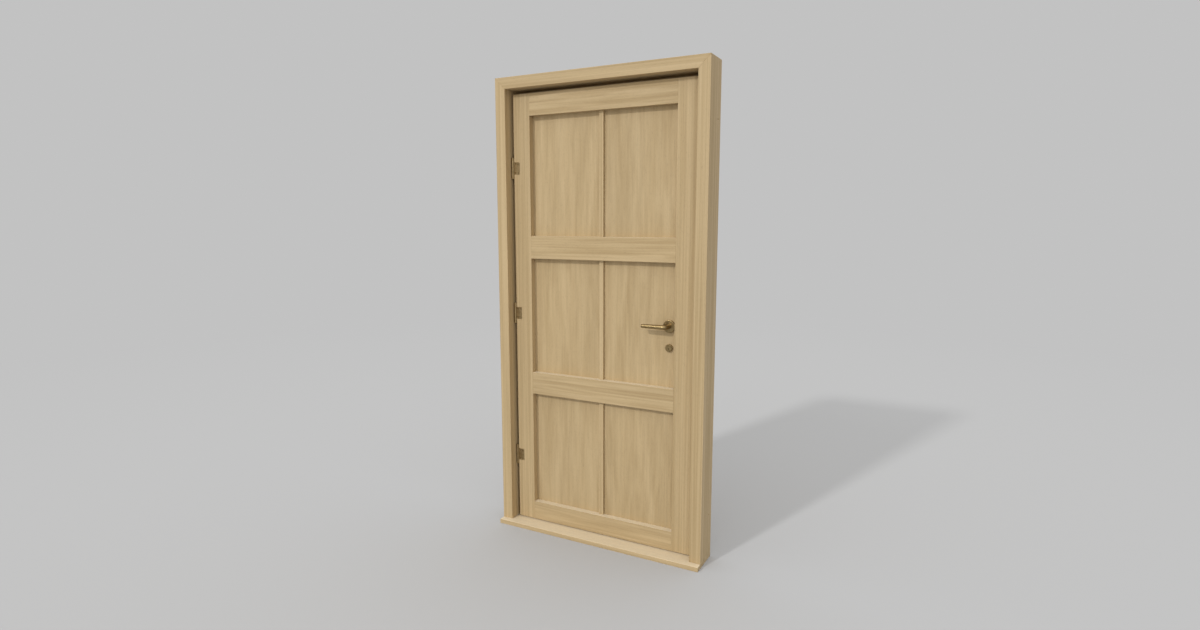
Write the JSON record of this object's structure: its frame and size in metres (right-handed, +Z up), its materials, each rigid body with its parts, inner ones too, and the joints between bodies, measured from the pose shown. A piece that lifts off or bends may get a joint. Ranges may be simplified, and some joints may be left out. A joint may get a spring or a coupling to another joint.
{
  "type": "panelled front door",
  "caption": "Panelled timber front door hung in a mitred frame with a sill, with butt hinges, lever handles on round roses and a cylinder mortise lock.",
  "frame": {"origin": "middle of the sill's underside, straight below the frame's front face", "axes": "+Z up, +X to the right seen from the street side, +Y from the street side into the room"},
  "size_m": [1, 0.184, 2.07],
  "materials": {
    "oak": "straight-grained pale oak, matt clear finish",
    "bronze": "aged bronze, satin",
    "brass": "satin brass",
    "steel": "zinc-plated steel",
    "rubber": "black extruded rubber"
  },
  "bodies": {
    "frame": {"sill": "oak", "hinge_jamb": "oak", "lock_jamb": "oak", "head": "oak", "hinge_stop": "oak", "lock_stop": "oak", "head_stop": "oak", "weather_seal": "rubber", "strike_plate": "steel", "strike_screws": "steel", "jamb_hinge_screws": "bronze", "jamb_hinge_leaf_bottom": "bronze", "jamb_hinge_leaf_middle": "bronze", "jamb_hinge_leaf_top": "bronze", "hinge_pin_bottom": "bronze", "hinge_pin_middle": "bronze", "hinge_pin_top": "bronze"},
    "leaf": {"hinge_stile": "oak", "lock_stile": "oak", "bottom_rail": "oak", "lower_middle_rail": "oak", "upper_middle_rail": "oak", "top_rail": "oak", "muntin_bottom": "oak", "muntin_middle": "oak", "muntin_top": "oak", "left_panel_bottom": "oak", "left_panel_middle": "oak", "left_panel_top": "oak", "right_panel_bottom": "oak", "right_panel_middle": "oak", "right_panel_top": "oak", "door_hinge_leaf_bottom": "bronze", "door_hinge_leaf_middle": "bronze", "door_hinge_leaf_top": "bronze", "door_hinge_screws": "bronze", "outer_rose": "bronze", "inner_rose": "bronze", "rose_bolts": "bronze", "outer_cylinder": "bronze", "inner_cylinder": "bronze", "outer_collar": "bronze", "inner_collar": "bronze", "lock_case": "steel", "lock_cover": "steel", "latch_spring": "steel", "lock_faceplate": "brass", "faceplate_screws": "brass"},
    "lever_set": {"outer_lever": "bronze", "inner_lever": "bronze", "spindle": "steel", "follower": "brass"},
    "latch": {"latch_bolt": "brass"},
    "key_plugs": {"outer_plug": "bronze", "inner_plug": "bronze", "bolt_crank": "steel"},
    "deadbolt": {"deadbolt": "brass"}
  },
  "joints": [
    {"name": "door_swing", "type": "hinge", "parent": "frame", "child": "leaf", "pos_m": [-0.4435, 0.046, 1], "axis": [0, 0, -1], "range_deg": [0, 95]},
    {"name": "lever_turn", "type": "hinge", "parent": "leaf", "child": "lever_set", "pos_m": [0.318, 0.087, 1.005], "axis": [0, -1, 0], "range_deg": [0, 40], "stiffness_Nm_per_rad": 1.5, "springref_deg": -28.65},
    {"name": "latch_slide", "type": "slide", "parent": "leaf", "child": "latch", "axis": [-1, 0, 0], "range_m": [0, 0.012], "deforming": ["latch_spring"]},
    {"name": "key_turn", "type": "hinge", "parent": "leaf", "child": "key_plugs", "pos_m": [0.318, 0.087, 0.909], "axis": [0, 1, 0], "range_deg": [0, 180]},
    {"name": "deadbolt_slide", "type": "slide", "parent": "leaf", "child": "deadbolt", "axis": [1, 0, 0], "range_m": [0, 0.02]}
  ],
  "couplings": [
    {"joint": "latch_slide", "follows": "lever_turn", "m_per_rad": 0.017188},
    {"joint": "key_turn", "follows": "deadbolt_slide", "rad_per_m": 157.07}
  ]
}
